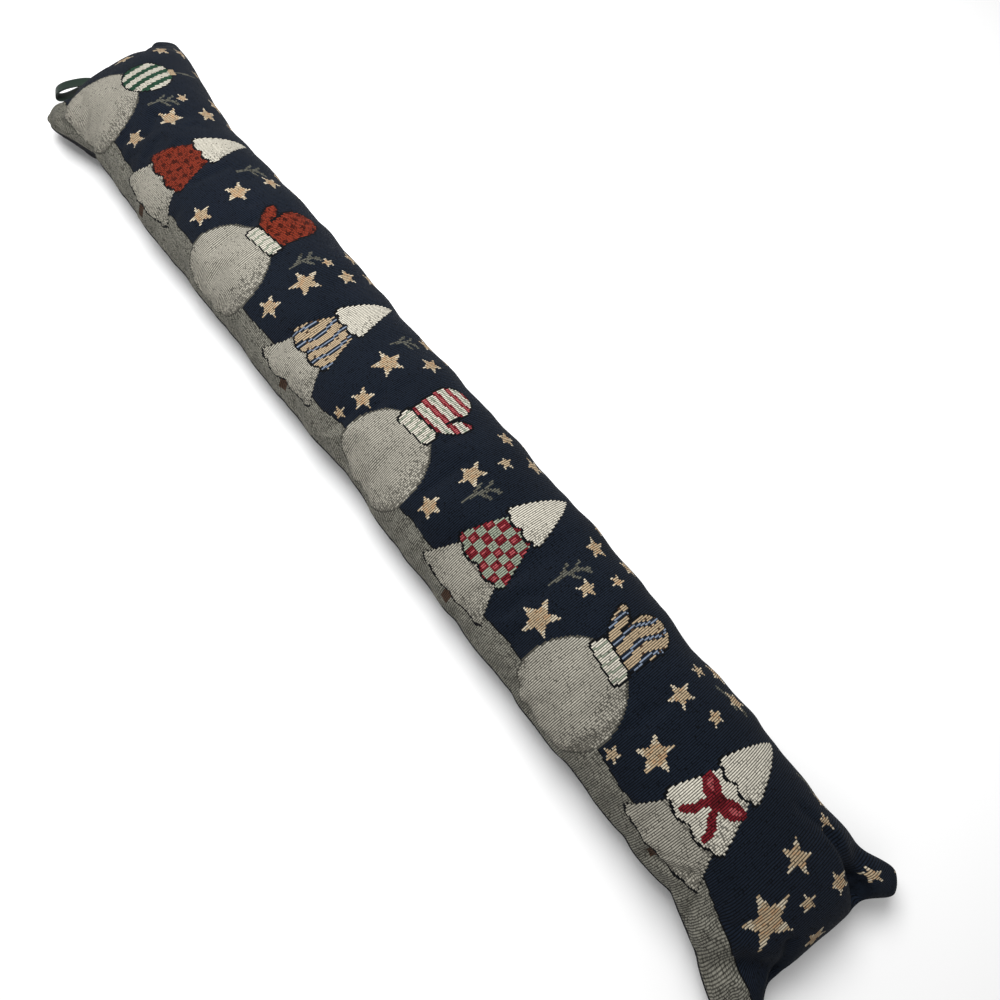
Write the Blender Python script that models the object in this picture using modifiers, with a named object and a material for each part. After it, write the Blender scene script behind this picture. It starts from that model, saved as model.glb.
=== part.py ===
"""Draught excluder: one long stuffed cushion of two panels, with a ribbon loop to hang it by.

X runs along the length, Y across the width and Z up. The tapestry front faces up, the
cushion lies on its plain back, and the origin is on the surface under the middle.
Every size is in metres.
"""
import math
from collections import namedtuple

import bmesh
import bpy
from mathutils import Matrix, Vector

# The filled form
HALF_WIDTH = 0.0573
SEAM_HEIGHT = 0.0315
CROWN = 0.0365
DEPTH = 0.0370
SEAM_EDGE = 0.0030
CAP_LENGTH = 0.060

# The cloth, the clearance that separate pieces keep, and the line between the panels at the seam
CLOTH = 0.0015
GAP = 0.0003
SEAM_LINE = 0.0006

# Where the seam sinks towards the ends
END_DROP = 0.0105
END_DROP_FROM = 0.355
END_DROP_TO = 0.440

# The dog ears at the four corners
EAR_ROOT = 0.50
EAR_SHOULDER = 0.84
EAR_FLATNESS = 0.62
EAR_SPREAD = 0.030
EAR_PULL = 0.0058
EAR_PULL_FROM = 0.74
EAR_DROP = 0.0045
CREASE_WIDTH = 0.0085

# X of each end seam at its middle, and how it slants across the width
End = namedtuple("End", "seam_x slant")
ENDS = {
    +1: End(0.4462, 0.07),
    -1: End(0.4405, 0.15),
}

# Each ear by its end and side: its tip, where its flare starts and ends, and the crease at its root
Ear = namedtuple("Ear", "tip_x tip_y flare_from flare_to length crease")
EARS = {
    (+1, +1): Ear(0.4600, 0.0670, 0.422, 0.456, 0.037, 0.42),
    (+1, -1): Ear(0.4585, 0.0795, 0.372, 0.452, 0.046, 0.34),
    (-1, +1): Ear(0.4590, 0.0690, 0.325, 0.455, 0.040, 0.06),
    (-1, -1): Ear(0.4495, 0.0690, 0.368, 0.434, 0.038, 0.20),
}

# Where the filling lies thicker or thinner along a side, by how much and over what length
Swell = namedtuple("Swell", "side x size reach")
SWELLS = (
    Swell(+1, -0.290, -0.0052, 0.085),
    Swell(+1, -0.060, -0.0018, 0.060),
    Swell(+1, +0.160, +0.0034, 0.110),
    Swell(+1, +0.262, -0.0026, 0.028),
    Swell(+1, +0.385, -0.0020, 0.035),
    Swell(-1, -0.345, -0.0022, 0.030),
    Swell(-1, -0.250, +0.0012, 0.060),
    Swell(-1, +0.014, -0.0034, 0.038),
    Swell(-1, +0.240, +0.0008, 0.040),
)

# How the side seams, the seam's height and the crown waver
Wave = namedtuple("Wave", "size length phase")
SIDE_RIPPLES = (Wave(0.0005, 0.083, 2.1), Wave(0.0004, 0.041, 0.3))
SEAM_WAVES = (Wave(0.0011, 0.230, 1.2), Wave(0.0007, 0.071, 0.2))
CROWN_WAVES = (Wave(0.0012, 0.260, 0.5), Wave(0.0007, 0.118, 2.6))
OTHER_SIDE_SHIFT = 0.5

# How finely the cloth is divided
BODY_COLUMNS = 42
CAP_COLUMNS = 8
ROWS = 18

# The ribbon loop at the far end
RIBBON_WIDTH = 0.0095
RIBBON_THICKNESS = 0.0012
RIBBON_ROOT_V = -0.09
LOOP_REACH = 0.049
LOOP_OPEN = 0.0080
LOOP_BEND_RADIUS = 0.026
LOOP_SWING = math.radians(56)
LOOP_DROOP = 0.0075
LOOP_STEPS = 40
SEAM_SAMPLE = 0.05


def smooth(t):
    """Ease from 0 to 1 without a kink at either end."""
    t = min(1.0, max(0.0, t))
    return t * t * (3 - 2 * t)


def waves(table, x):
    """Sum the waves of a table at one place along the length."""
    return sum(wave.size * math.sin(2 * math.pi * x / wave.length + wave.phase) for wave in table)


def bell(distance, width):
    """Fall smoothly from 1 to nearly nothing at about twice the width."""
    return math.exp(-((distance / width) ** 2))


def side_half_width(side, x):
    """Give the distance from the middle to a side seam, away from the ears."""
    swells = [swell for swell in SWELLS if swell.side == side]
    filling = sum(swell.size * bell(x - swell.x, swell.reach) for swell in swells)
    return HALF_WIDTH + filling + waves(SIDE_RIPPLES, x + side * OTHER_SIDE_SHIFT)


def cushion_point(u, v, face):
    """Give the place of one point of the cloth; u and v run from -1 to 1, face is 1 for the front."""
    end = 1 if u >= 0 else -1
    side = 1 if v >= 0 else -1
    ear = EARS[end, side]
    across = math.sin(v * math.pi / 2)
    roundness = math.cos(v * math.pi / 2)

    columns = BODY_COLUMNS + 2 * CAP_COLUMNS
    body_share = BODY_COLUMNS / columns
    cap_share = 2 * CAP_COLUMNS / columns
    turn = max(0.0, (abs(u) - body_share) / cap_share) * math.pi / 2
    straight = min(1.0, abs(u) / body_share)

    end_x = ENDS[end].seam_x + ENDS[end].slant * across * HALF_WIDTH
    ear_share = smooth((abs(across) - EAR_ROOT) / (EAR_SHOULDER - EAR_ROOT))
    end_x += (ear.tip_x - end_x) * ear_share
    along = straight * (end_x - CAP_LENGTH) + math.sin(turn) * CAP_LENGTH
    half_width = side_half_width(side, end * along)
    flare = smooth((along - ear.flare_from) / (ear.flare_to - ear.flare_from))
    half_width += (ear.tip_y - half_width) * flare
    out = abs(across) * half_width

    near_side = max(0.0, (abs(across) - EAR_PULL_FROM) / (1 - EAR_PULL_FROM))
    near_end = max(0.0, (math.sin(turn) - EAR_PULL_FROM) / (1 - EAR_PULL_FROM))
    pull = EAR_PULL * (near_side * near_end) ** 2
    along -= pull
    out -= pull
    from_tip = math.hypot(along - ear.tip_x, out - ear.tip_y)
    fullness = 1 - EAR_FLATNESS * bell(from_tip, EAR_SPREAD)
    fullness *= 1 - ear.crease * bell(from_tip - ear.length, CREASE_WIDTH)

    seam_z = SEAM_HEIGHT + waves(SEAM_WAVES, end * along) * abs(across)
    seam_z -= END_DROP * smooth((along - END_DROP_FROM) / (END_DROP_TO - END_DROP_FROM))
    seam_z -= EAR_DROP * bell(from_tip, EAR_SPREAD)

    x = end * along
    y = side * out
    cap_roundness = math.cos(turn)
    if roundness < 1e-6 or cap_roundness < 1e-6:
        return Vector((x, y, seam_z))
    dome = roundness * cap_roundness / (roundness + cap_roundness - roundness * cap_roundness)
    if face > 0:
        rise = CROWN + waves(CROWN_WAVES, x)
        return Vector((x, y, seam_z + SEAM_EDGE + rise * dome * fullness))
    return Vector((x, y, max(0.0, seam_z - SEAM_EDGE - DEPTH * dome * fullness)))


def cloth_surface(face):
    """Shape a grid into the front or the back of the cushion, as an open surface.

    Its squares are split towards the four corners, so no triangle lies flat across a corner.
    """
    bm = bmesh.new()
    columns = BODY_COLUMNS + 2 * CAP_COLUMNS
    bmesh.ops.create_grid(bm, x_segments=columns, y_segments=ROWS, size=1)
    centres = [(square, square.calc_center_median()) for square in bm.faces]
    rising = [square for square, centre in centres if centre.x * centre.y > 0]
    falling = [square for square, centre in centres if centre.x * centre.y < 0]
    bmesh.ops.triangulate(bm, faces=rising, quad_method="FIXED")
    bmesh.ops.triangulate(bm, faces=falling, quad_method="ALTERNATE")
    for vert in bm.verts:
        vert.co = cushion_point(vert.co.x, vert.co.y, face)
    bm.normal_update()
    return bm


def material(name, colour, roughness):
    mat = bpy.data.materials.new(name)
    mat.use_nodes = True
    shader = mat.node_tree.nodes["Principled BSDF"]
    shader.inputs["Base Color"].default_value = (*colour, 1)
    shader.inputs["Roughness"].default_value = roughness
    shader.inputs["Metallic"].default_value = 0
    return mat


def add_object(bm, name, mat, collection):
    """Turn a bmesh into a smooth-shaded object of the collection."""
    mesh = bpy.data.meshes.new(name)
    bm.to_mesh(mesh)
    bm.free()
    mesh.materials.append(mat)
    mesh.shade_smooth()
    obj = bpy.data.objects.new(name, mesh)
    collection.objects.link(obj)
    return obj


def thicken(obj, thickness, offset):
    """Give an open surface its thickness; an offset of -1 puts it all on the inner side."""
    solid = obj.modifiers.new("Thickness", "SOLIDIFY")
    solid.thickness = thickness
    solid.offset = offset
    solid.use_even_offset = False


def build_tapestry_front(collection):
    """The woven front panel: one sheet over the crown, down to the seam all round."""
    bm = cloth_surface(1)
    obj = add_object(bm, "tapestry_front", material("Tapestry", (0.020, 0.027, 0.050), 0.9), collection)
    thicken(obj, CLOTH, -1)


def build_filled_body(collection):
    """The back panel with the filled form: it stops under the front panel and at its edge."""
    body = cloth_surface(-1)
    bmesh.ops.reverse_faces(body, faces=body.faces[:])
    back_rim = [edge for edge in body.edges if edge.is_boundary]
    for vert in {vert for edge in back_rim for vert in edge.verts}:
        vert.co.z -= SEAM_LINE

    front = cloth_surface(1)
    for vert in front.verts:
        vert.co -= vert.normal * (CLOTH + GAP)
        if vert.is_boundary:
            vert.co.z -= SEAM_LINE
    mesh = bpy.data.meshes.new("front side")
    front.to_mesh(mesh)
    front.free()
    body.from_mesh(mesh)
    bpy.data.meshes.remove(mesh)

    rims = [edge for edge in body.edges if edge.is_boundary]
    bmesh.ops.bridge_loops(body, edges=rims)
    bmesh.ops.triangulate(body, faces=[face for face in body.faces if len(face.verts) > 3])
    bmesh.ops.recalc_face_normals(body, faces=body.faces[:])
    add_object(body, "filled_body", material("Back cloth", (0.012, 0.012, 0.014), 0.95), collection)


def loop_point(share, width_share):
    """Give a point of the ribbon: share runs along it from root to root, width_share across it."""
    reach = LOOP_REACH * math.sin(math.pi * share)
    swing = min(reach / LOOP_BEND_RADIUS, LOOP_SWING)
    beyond = reach - swing * LOOP_BEND_RADIUS
    out = LOOP_BEND_RADIUS * math.sin(swing) + beyond * math.cos(swing)
    sideways = LOOP_BEND_RADIUS * (1 - math.cos(swing)) + beyond * math.sin(swing)
    rise = LOOP_OPEN * math.sin(2 * math.pi * share) * math.sin(math.pi * share)
    rise += RIBBON_THICKNESS * math.cos(math.pi * share)
    rise -= LOOP_DROOP * (reach / LOOP_REACH) ** 2
    across = width_share * RIBBON_WIDTH / 2
    return Vector((-out - across * math.sin(swing), -sideways + across * math.cos(swing), rise))


def build_hanging_loop(collection):
    """The ribbon: square out of the end seam, round its bight and back under itself."""
    left = cushion_point(-1, RIBBON_ROOT_V - SEAM_SAMPLE, 1)
    right = cushion_point(-1, RIBBON_ROOT_V + SEAM_SAMPLE, 1)
    seam = right - left
    square_to_seam = Matrix.Rotation(math.atan2(-seam.x, seam.y), 3, "Z")
    root = (left + right) / 2 + square_to_seam @ Vector((-GAP, 0, 0))
    bm = bmesh.new()
    bmesh.ops.create_grid(bm, x_segments=LOOP_STEPS, y_segments=1, size=1)
    for vert in bm.verts:
        vert.co = root + square_to_seam @ loop_point((vert.co.x + 1) / 2, vert.co.y)
    obj = add_object(bm, "hanging_loop", material("Green ribbon", (0.010, 0.045, 0.025), 0.5), collection)
    thicken(obj, RIBBON_THICKNESS, 0)


def main():
    for obj in list(bpy.data.objects):
        bpy.data.objects.remove(obj, do_unlink=True)
    collection = bpy.data.collections.new("draught_excluder")
    bpy.context.scene.collection.children.link(collection)
    build_filled_body(collection)
    build_tapestry_front(collection)
    build_hanging_loop(collection)


main()
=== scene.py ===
"""Looks of the draught excluder: woven tapestry front, plain filled back and ribbon loop.

X runs along the length, Y across the width and Z up, in metres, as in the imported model. The
front's design is laid out on the flat cloth: along it, and up it from the middle, in metres.
"""
import math
from collections import namedtuple

import bmesh
import bpy
import numpy as np
from mathutils import Matrix, Vector


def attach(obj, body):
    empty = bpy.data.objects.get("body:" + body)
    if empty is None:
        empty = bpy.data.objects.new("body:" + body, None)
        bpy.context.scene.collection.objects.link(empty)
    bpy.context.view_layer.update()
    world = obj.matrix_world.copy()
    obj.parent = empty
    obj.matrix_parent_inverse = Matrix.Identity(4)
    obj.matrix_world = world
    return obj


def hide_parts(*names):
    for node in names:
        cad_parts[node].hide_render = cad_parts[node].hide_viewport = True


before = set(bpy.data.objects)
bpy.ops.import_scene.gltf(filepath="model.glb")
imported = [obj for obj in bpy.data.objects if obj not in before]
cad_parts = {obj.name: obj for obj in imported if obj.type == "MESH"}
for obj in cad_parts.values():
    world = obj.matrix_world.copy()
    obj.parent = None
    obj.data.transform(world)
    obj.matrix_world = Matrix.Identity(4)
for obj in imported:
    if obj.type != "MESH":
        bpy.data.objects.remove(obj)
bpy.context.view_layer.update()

# The filled form, as in the part's source
HALF_WIDTH = 0.0573
SEAM_HEIGHT = 0.0315
CROWN = 0.0365
DEPTH = 0.0370
SEAM_EDGE = 0.0030
CAP_LENGTH = 0.060
CLOTH = 0.0015
GAP = 0.0003
END_DROP = 0.0105
END_DROP_FROM = 0.355
END_DROP_TO = 0.440
EAR_ROOT = 0.50
EAR_SHOULDER = 0.84
EAR_FLATNESS = 0.62
EAR_SPREAD = 0.030
EAR_PULL = 0.0058
EAR_PULL_FROM = 0.74
EAR_DROP = 0.0045
CREASE_WIDTH = 0.0085
BODY_SHARE = 42 / 58
CAP_SHARE = 16 / 58

End = namedtuple("End", "seam_x slant")
ENDS = {
    +1: End(0.4462, 0.07),
    -1: End(0.4405, 0.15),
}

Ear = namedtuple("Ear", "tip_x tip_y flare_from flare_to length crease")
EARS = {
    (+1, +1): Ear(0.4600, 0.0670, 0.422, 0.456, 0.037, 0.42),
    (+1, -1): Ear(0.4585, 0.0795, 0.372, 0.452, 0.046, 0.34),
    (-1, +1): Ear(0.4590, 0.0690, 0.325, 0.455, 0.040, 0.06),
    (-1, -1): Ear(0.4495, 0.0690, 0.368, 0.434, 0.038, 0.20),
}

Swell = namedtuple("Swell", "side x size reach")
SWELLS = (
    Swell(+1, -0.290, -0.0052, 0.085),
    Swell(+1, -0.060, -0.0018, 0.060),
    Swell(+1, +0.160, +0.0034, 0.110),
    Swell(+1, +0.262, -0.0026, 0.028),
    Swell(+1, +0.385, -0.0020, 0.035),
    Swell(-1, -0.345, -0.0022, 0.030),
    Swell(-1, -0.250, +0.0012, 0.060),
    Swell(-1, +0.014, -0.0034, 0.038),
    Swell(-1, +0.240, +0.0008, 0.040),
)

Wave = namedtuple("Wave", "size length phase")
SIDE_RIPPLES = (Wave(0.0005, 0.083, 2.1), Wave(0.0004, 0.041, 0.3))
SEAM_WAVES = (Wave(0.0011, 0.230, 1.2), Wave(0.0007, 0.071, 0.2))
CROWN_WAVES = (Wave(0.0012, 0.260, 0.5), Wave(0.0007, 0.118, 2.6))
OTHER_SIDE_SHIFT = 0.5

# Small pulls along the seam, where its stitches draw the cloth in
KINKS = (
    Swell(-1, 0.4060, -0.0016, 0.0060), Swell(-1, 0.3700, -0.0018, 0.0065),
    Swell(-1, 0.3290, -0.0012, 0.0060), Swell(-1, 0.2720, -0.0009, 0.0070),
    Swell(-1, 0.2150, -0.0012, 0.0060), Swell(-1, 0.1530, -0.0011, 0.0070),
    Swell(-1, 0.0860, -0.0008, 0.0060), Swell(-1, 0.0150, -0.0012, 0.0080),
    Swell(-1, -0.0640, -0.0008, 0.0060), Swell(-1, -0.1480, -0.0009, 0.0070),
    Swell(-1, -0.2350, -0.0007, 0.0060), Swell(-1, -0.3080, -0.0008, 0.0060),
    Swell(-1, -0.3640, -0.0014, 0.0070), Swell(-1, -0.3960, -0.0012, 0.0060),
    Swell(+1, 0.3350, -0.0007, 0.0080), Swell(+1, 0.1240, -0.0006, 0.0080),
    Swell(+1, -0.1760, -0.0006, 0.0080),
)

# The flat front panel inside its seams, one column of the grid to each rib of the weave
RIBS = 652
PICKS = 148
HALF_LENGTH = 0.4637
HALF_HEIGHT = 0.0785
CLOTH_MAP = "OFBake"

# Yarn floats and dark ticks up the front, and the turned hem along its edge
FLOATS_UP = 44
TICKS_UP = 262
HEM = 0.0012
HEM_RISE = 0.0006
HEM_ENDS_FROM = 0.40

# The plain back: its grid, its threads and its edge, which stands a little proud under the front
BACK_COLUMNS = 300
BACK_ROWS = 56
BACK_WARPS = 1100
BACK_WEFTS = 190
EDGE_DROP = {+1: 0.0010, -1: 0.0016}
SEAM_PROUD = 0.0007

# The share of the way in from the seam that no fold, pucker or dent moves in full
SEAM_FIRM = 0.03

# Folds pressed into the front at the corners: from and to on the flat cloth, depth and width
Fold = namedtuple("Fold", "along_from up_from along_to up_to depth width")
FOLDS = (
    Fold(0.454, 0.0250, 0.424, 0.0365, 0.0078, 0.0036),
    Fold(0.424, 0.0365, 0.402, 0.0425, 0.0044, 0.0042),
    Fold(0.402, 0.0425, 0.380, 0.0350, 0.0018, 0.0045),
    Fold(0.452, -0.0240, 0.428, -0.0140, 0.0034, 0.0036),
    Fold(0.440, -0.0560, 0.418, -0.0500, 0.0022, 0.0036),
    Fold(0.384, -0.0780, 0.378, -0.0520, 0.0034, 0.0044),
    Fold(0.398, -0.0780, 0.394, -0.0500, -0.0022, 0.0040),
    Fold(0.342, -0.0640, 0.366, -0.0440, 0.0028, 0.0042),
    Fold(0.352, -0.0330, 0.366, -0.0420, 0.0014, 0.0060),
    Fold(0.208, -0.0720, 0.216, -0.0560, 0.0018, 0.0040),
    Fold(0.010, -0.0740, 0.002, -0.0520, 0.0022, 0.0044),
    Fold(0.030, -0.0740, 0.026, -0.0560, -0.0012, 0.0040),
    Fold(-0.405, -0.0600, -0.384, -0.0640, 0.0024, 0.0044),
    Fold(-0.452, -0.0300, -0.430, -0.0440, 0.0028, 0.0040),
    Fold(-0.452, 0.0330, -0.428, 0.0460, 0.0018, 0.0050),
)
PUCKER_WAVES = (Wave(0.00070, 0.0410, 0.4), Wave(0.00050, 0.0270, 1.9), Wave(0.00030, 0.0165, 0.9))
PUCKER_REACH = 0.14
PUCKER_LIFT = 0.0004
DENT_WAVES = (Wave(0.0005, 0.131, 0.7), Wave(0.0004, 0.067, 2.2))

# The share of the puckers and dents that the upper side of the design shows
UPPER_PUCKERS = 0.15
UPPER_DENTS = 0.5


def smooth(t):
    """Ease from 0 to 1 without a kink at either end."""
    t = np.clip(t, 0, 1)
    return t * t * (3 - 2 * t)


def waves(table, x):
    """Sum the waves of a table at places along the length."""
    return sum(wave.size * np.sin(2 * np.pi * x / wave.length + wave.phase) for wave in table)


def bell(distance, width):
    """Fall smoothly from 1 to nearly nothing at about twice the width."""
    return np.exp(-((distance / width) ** 2))


def side_half_width(side, x):
    """Give the distance from the middle to a side seam, away from the ears."""
    swells = SWELLS + KINKS
    filling = sum(swell.size * bell(x - swell.x, swell.reach) * (side == swell.side) for swell in swells)
    return HALF_WIDTH + filling + waves(SIDE_RIPPLES, x + side * OTHER_SIDE_SHIFT)


def ear_values(end, side):
    """Look up each ear's row for arrays of ends and sides."""
    rows = np.zeros((len(Ear._fields),) + end.shape)
    for (at_end, at_side), ear in EARS.items():
        rows[:, (end == at_end) & (side == at_side)] = np.array(ear)[:, None]
    return Ear(*rows)


def end_seam(end, v):
    """Give how far out the end seam lies at a height of the cloth."""
    ear = ear_values(end, np.where(v >= 0, 1, -1))
    across = np.sin(v * np.pi / 2)
    seam_x = np.where(end > 0, ENDS[1].seam_x, ENDS[-1].seam_x)
    slant = np.where(end > 0, ENDS[1].slant, ENDS[-1].slant)
    end_x = seam_x + slant * across * HALF_WIDTH
    ear_share = smooth((np.abs(across) - EAR_ROOT) / (EAR_SHOULDER - EAR_ROOT))
    return end_x + (ear.tip_x - end_x) * ear_share


def cushion_points(u, v, face):
    """Give the places of points of the cloth; u and v run from -1 to 1, face is 1 for the front."""
    end = np.where(u >= 0, 1, -1)
    side = np.where(v >= 0, 1, -1)
    ear = ear_values(end, side)
    across = np.sin(v * np.pi / 2)
    roundness = np.cos(v * np.pi / 2)
    turn = np.maximum(0, (np.abs(u) - BODY_SHARE) / CAP_SHARE) * np.pi / 2
    straight = np.minimum(1, np.abs(u) / BODY_SHARE)

    end_x = end_seam(end, v)
    along = straight * (end_x - CAP_LENGTH) + np.sin(turn) * CAP_LENGTH
    half_width = side_half_width(side, end * along)
    flare = smooth((along - ear.flare_from) / (ear.flare_to - ear.flare_from))
    half_width += (ear.tip_y - half_width) * flare
    out = np.abs(across) * half_width

    near_side = np.maximum(0, (np.abs(across) - EAR_PULL_FROM) / (1 - EAR_PULL_FROM))
    near_end = np.maximum(0, (np.sin(turn) - EAR_PULL_FROM) / (1 - EAR_PULL_FROM))
    pull = EAR_PULL * (near_side * near_end) ** 2
    along -= pull
    out -= pull
    from_tip = np.hypot(along - ear.tip_x, out - ear.tip_y)
    fullness = 1 - EAR_FLATNESS * bell(from_tip, EAR_SPREAD)
    fullness *= 1 - ear.crease * bell(from_tip - ear.length, CREASE_WIDTH)

    seam_z = SEAM_HEIGHT + waves(SEAM_WAVES, end * along) * np.abs(across)
    seam_z -= END_DROP * smooth((along - END_DROP_FROM) / (END_DROP_TO - END_DROP_FROM))
    seam_z -= EAR_DROP * bell(from_tip, EAR_SPREAD)

    cap_roundness = np.cos(turn)
    both = roundness + cap_roundness - roundness * cap_roundness
    dome = np.maximum(0, roundness * cap_roundness / np.maximum(both, 1e-9))
    inside = dome > 1e-6
    if face > 0:
        rise = CROWN + waves(CROWN_WAVES, end * along)
        z = seam_z + (SEAM_EDGE + rise * dome * fullness) * inside
    else:
        z = np.maximum(0, seam_z - (SEAM_EDGE + DEPTH * dome * fullness) * inside)
    return np.stack([end * along, side * out, z], -1)


def place_on_form(along, up, face):
    """Lay flat cloth on the form: its ribs stay straight up to the end caps."""
    v = up / HALF_HEIGHT
    length = np.abs(along)
    body = end_seam(np.where(along >= 0, 1, -1), v) - CAP_LENGTH
    cap = BODY_SHARE + (length - body) / (HALF_LENGTH - body) * CAP_SHARE
    share = np.where(length < body, length / body * BODY_SHARE, cap)
    return cushion_points(np.where(along >= 0, share, -share), v, face)


def from_segment(along, up, fold):
    """Give the distance from a fold's line."""
    start = np.array([fold.along_from, fold.up_from])
    step = np.array([fold.along_to, fold.up_to]) - start
    share = ((along - start[0]) * step[0] + (up - start[1]) * step[1]) / (step @ step)
    held = np.clip(share, 0, 1)
    return np.hypot(along - start[0] - held * step[0], up - start[1] - held * step[1])


def sunk(along, up):
    """Give how far the front sinks below the plain filled form: folds, puckers and soft dents."""
    depth = sum(fold.depth * bell(from_segment(along, up, fold), fold.width) for fold in FOLDS)
    to_seam = 1 - np.abs(up) / HALF_HEIGHT
    side = np.sign(up)
    pucker = waves(PUCKER_WAVES, along + side * 0.31) + PUCKER_LIFT
    pucker *= np.where(side < 0, 1.0, UPPER_PUCKERS)
    depth += np.maximum(pucker, -PUCKER_LIFT) * bell(to_seam - 0.05, PUCKER_REACH)
    dent = waves(DENT_WAVES, along + 0.6 * up) * smooth(to_seam / 0.3)
    depth += dent * np.where(side < 0, 1.0, UPPER_DENTS)
    return depth * smooth(to_seam / SEAM_FIRM)


# The coarse cushion whose cloth is simulated, and how much of its wrinkling the fine cloth takes.
# The front lies calmer towards the top of the design.
SETTLE_COLUMNS = 190
SETTLE_ROWS = 32
SETTLE_FRAMES = 20
SETTLE_PRESSURE = 4.0
SETTLE_SLACK = 0.035
RESTING_BELOW = 0.0015
BROAD_SWELL = (9, 4)
WRINKLE_GAIN = 0.6
WRINKLE_OUT = 0.0014
WRINKLE_IN = 0.0026
UPPER_CALM = 0.85
UPPER_CALM_OVER = 0.45


def blurred(values, passes):
    """Smooth a grid along its two axes, with more passes for a broader smoothing."""
    for axis, count in enumerate(passes):
        for _ in range(count * count):
            edge = [(1, 1) if at == axis else (0, 0) for at in (0, 1)]
            padded = np.pad(values, edge, mode="edge")
            length = values.shape[axis]
            before, after = padded.take(range(length), axis), padded.take(range(2, length + 2), axis)
            values = (before + 2 * values + after) / 4
    return values


def settled_wrinkles():
    """Simulate slack cloth round the filling; return the front's and back's wrinkles as grids of heights."""
    bm = bmesh.new()
    tag = bm.verts.layers.int.new("place")
    rows = SETTLE_ROWS + 1
    count = (SETTLE_COLUMNS + 1) * rows
    rest = {}
    for number, face in enumerate((1, -1)):
        bmesh.ops.create_grid(bm, x_segments=SETTLE_COLUMNS, y_segments=SETTLE_ROWS, size=1)
        verts = [vert for vert in bm.verts if vert[tag] == 0]
        flat = np.array([vert.co[:2] for vert in verts])
        columns_at = np.rint((flat[:, 0] + 1) / 2 * SETTLE_COLUMNS).astype(int)
        rows_at = np.rint((flat[:, 1] + 1) / 2 * SETTLE_ROWS).astype(int)
        places = place_on_form(flat[:, 0] * HALF_LENGTH, flat[:, 1] * HALF_HEIGHT, face)
        for vert, place, column, row in zip(verts, places, columns_at, rows_at):
            vert.co = place
            vert[tag] = 1 + number * count + int(column) * rows + int(row)
        rest[face] = np.zeros((count, 3))
        rest[face][columns_at * rows + rows_at] = places
    bmesh.ops.remove_doubles(bm, verts=bm.verts, dist=0.0001)
    bmesh.ops.recalc_face_normals(bm, faces=bm.faces)
    tags = np.array([vert[tag] for vert in bm.verts]) - 1
    held = [vert.index for vert in bm.verts if vert.co.z < RESTING_BELOW]
    edge_rows = (tags % rows == 0) | (tags % rows == rows - 1)
    seam = [int(index) for index in np.flatnonzero(edge_rows)]
    obj = add_object(bm, "settling")
    group = obj.vertex_groups.new(name="held")
    group.add(held + seam, 1.0, "REPLACE")

    cloth = obj.modifiers.new("Settle", "CLOTH")
    settings = cloth.settings
    settings.quality = 6
    settings.mass = 0.2
    settings.tension_stiffness = 12
    settings.compression_stiffness = 12
    settings.shear_stiffness = 4
    settings.bending_stiffness = 0.02
    settings.use_pressure = True
    settings.uniform_pressure_force = SETTLE_PRESSURE
    settings.shrink_min = -SETTLE_SLACK
    settings.shrink_max = -SETTLE_SLACK
    settings.vertex_group_mass = "held"
    settings.effector_weights.gravity = 0
    cloth.collision_settings.use_collision = False
    scene = bpy.context.scene
    for number in range(1, SETTLE_FRAMES + 1):
        scene.frame_set(number)
    shaped = obj.evaluated_get(bpy.context.evaluated_depsgraph_get())
    moved = np.zeros(len(shaped.data.vertices) * 3, np.float32)
    shaped.data.vertices.foreach_get("co", moved)
    moved = moved.reshape(-1, 3)
    mesh = obj.data
    bpy.data.objects.remove(obj)
    bpy.data.meshes.remove(mesh)
    scene.frame_set(1)

    wrinkles = {}
    for number, face in enumerate((1, -1)):
        here = (tags >= number * count) & (tags < (number + 1) * count)
        shift = np.zeros((count, 3))
        shift[tags[here] - number * count] = moved[here] - rest[face][tags[here] - number * count]
        grid = rest[face].reshape(-1, rows, 3)
        normal = np.cross(np.gradient(grid, axis=0), np.gradient(grid, axis=1)) * face
        normal /= np.maximum(np.linalg.norm(normal, axis=2, keepdims=True), 1e-9)
        height = (shift.reshape(-1, rows, 3) * normal).sum(2)
        fine = height - blurred(height, BROAD_SWELL)
        wrinkles[face] = np.clip(fine * WRINKLE_GAIN, -WRINKLE_IN, WRINKLE_OUT)
    wrinkles[1] *= 1 - UPPER_CALM * smooth(np.linspace(-1, 1, rows) / UPPER_CALM_OVER)
    return wrinkles


def cubic_weights(share):
    """Weights of the four grid lines round a place, for a smooth curve through them."""
    square, cube = share**2, share**3
    return (
        (-share + 2 * square - cube) / 2,
        (2 - 5 * square + 3 * cube) / 2,
        (share + 4 * square - 3 * cube) / 2,
        (cube - square) / 2,
    )


def wrinkle_height(grid, along, up):
    """Read a wrinkle grid smoothly at places on the flat cloth."""
    column = (along / HALF_LENGTH + 1) / 2 * SETTLE_COLUMNS
    row = (up / HALF_HEIGHT + 1) / 2 * SETTLE_ROWS
    first_column = np.clip(np.floor(column), 0, SETTLE_COLUMNS - 1).astype(int)
    first_row = np.clip(np.floor(row), 0, SETTLE_ROWS - 1).astype(int)
    height = np.zeros(along.shape)
    for column_step, column_weight in enumerate(cubic_weights(column - first_column), -1):
        at_column = np.clip(first_column + column_step, 0, SETTLE_COLUMNS)
        for row_step, row_weight in enumerate(cubic_weights(row - first_row), -1):
            at_row = np.clip(first_row + row_step, 0, SETTLE_ROWS)
            height += grid[at_column, at_row] * column_weight * row_weight
    to_seam = 1 - np.abs(up) / HALF_HEIGHT
    to_end = 1 - np.abs(along) / HALF_LENGTH
    return height * smooth(to_seam / 0.05) * smooth(to_end / 0.015)


# Yarn colours, as they show in daylight
def yarn(red, green, blue):
    """Turn a display colour into the linear one that a shader takes."""
    shown = np.array([red, green, blue]) / 255
    return np.where(shown <= 0.04045, shown / 12.92, ((shown + 0.055) / 1.055) ** 2.4)


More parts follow.
